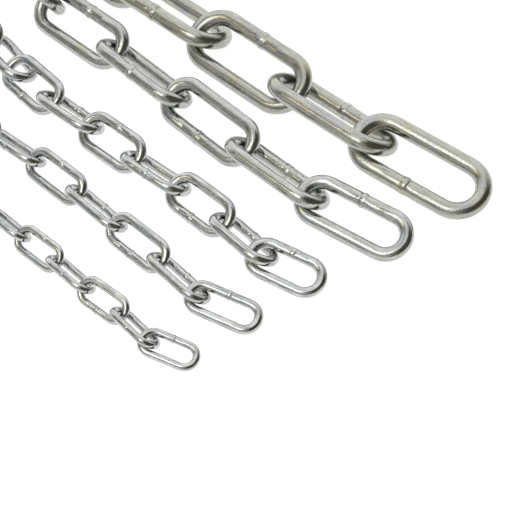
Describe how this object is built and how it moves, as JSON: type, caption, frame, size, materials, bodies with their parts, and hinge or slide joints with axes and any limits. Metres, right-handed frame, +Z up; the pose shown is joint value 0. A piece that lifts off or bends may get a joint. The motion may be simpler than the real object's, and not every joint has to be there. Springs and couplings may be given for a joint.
{
  "type": "set of steel chain lengths",
  "caption": "Cut lengths of welded long-link steel chain in graded wire sizes, bright zinc plated, laid out side by side for lifting out, hanging, towing or securing.",
  "frame": {"origin": "centre of the footprint, on the floor that the links lie on", "axes": "+X along the chains towards the end links that lie nearly flat, +Y from the thinnest chain to the thickest, +Z up"},
  "size_m": [0.3108, 0.137, 0.0175],
  "materials": {
    "zinc_bright": "bright zinc plating with a bluish passivate, drawn-wire lines, fairly glossy",
    "zinc_plain": "bright zinc plating, neutral to slightly warm grey, fine matt speckle",
    "zinc_warm": "zinc plating with a faint olive and straw tint, satin with fine speckle"
  },
  "bodies": {
    "root": {"chain_2_6mm_link_01": "zinc_bright", "chain_2_6mm_link_02": "zinc_bright", "chain_2_6mm_link_03": "zinc_bright", "chain_2_6mm_link_04": "zinc_bright", "chain_2_6mm_link_05": "zinc_bright", "chain_2_6mm_link_06": "zinc_bright", "chain_2_6mm_link_07": "zinc_bright", "chain_2_6mm_link_08": "zinc_bright", "chain_2_6mm_link_09": "zinc_bright", "chain_2_6mm_link_10": "zinc_bright", "chain_2_6mm_link_11": "zinc_bright", "chain_2_6mm_link_12": "zinc_bright", "chain_2_6mm_link_13": "zinc_bright", "chain_2_6mm_link_14": "zinc_bright", "chain_2_6mm_link_15": "zinc_bright", "chain_2_6mm_link_16": "zinc_bright", "chain_2_6mm_link_17": "zinc_bright", "chain_2_6mm_link_18": "zinc_bright", "chain_3_2mm_link_01": "zinc_bright", "chain_3_2mm_link_02": "zinc_bright", "chain_3_2mm_link_03": "zinc_bright", "chain_3_2mm_link_04": "zinc_bright", "chain_3_2mm_link_05": "zinc_bright", "chain_3_2mm_link_06": "zinc_bright", "chain_3_2mm_link_07": "zinc_bright", "chain_3_2mm_link_08": "zinc_bright", "chain_3_2mm_link_09": "zinc_bright", "chain_3_2mm_link_10": "zinc_bright", "chain_3_2mm_link_11": "zinc_bright", "chain_3_2mm_link_12": "zinc_bright", "chain_3_2mm_link_13": "zinc_bright", "chain_3_2mm_link_14": "zinc_bright", "chain_3_7mm_link_01": "zinc_bright", "chain_3_7mm_link_02": "zinc_bright", "chain_3_7mm_link_03": "zinc_bright", "chain_3_7mm_link_04": "zinc_bright", "chain_3_7mm_link_05": "zinc_bright", "chain_3_7mm_link_06": "zinc_bright", "chain_3_7mm_link_07": "zinc_bright", "chain_3_7mm_link_08": "zinc_bright", "chain_3_7mm_link_09": "zinc_bright", "chain_3_7mm_link_10": "zinc_bright", "chain_3_7mm_link_11": "zinc_bright", "chain_3_7mm_link_12": "zinc_bright", "chain_3_7mm_link_13": "zinc_bright", "chain_5mm_link_01": "zinc_plain", "chain_5mm_link_02": "zinc_plain", "chain_5mm_link_03": "zinc_plain", "chain_5mm_link_04": "zinc_plain", "chain_5mm_link_05": "zinc_plain", "chain_5mm_link_06": "zinc_plain", "chain_5mm_link_07": "zinc_plain", "chain_5mm_link_08": "zinc_plain", "chain_6mm_link_01": "zinc_warm", "chain_6mm_link_02": "zinc_warm", "chain_6mm_link_03": "zinc_warm", "chain_6mm_link_04": "zinc_warm", "chain_6mm_link_05": "zinc_warm", "chain_6mm_link_06": "zinc_warm", "chain_6mm_link_07": "zinc_warm"}
  },
  "joints": []
}
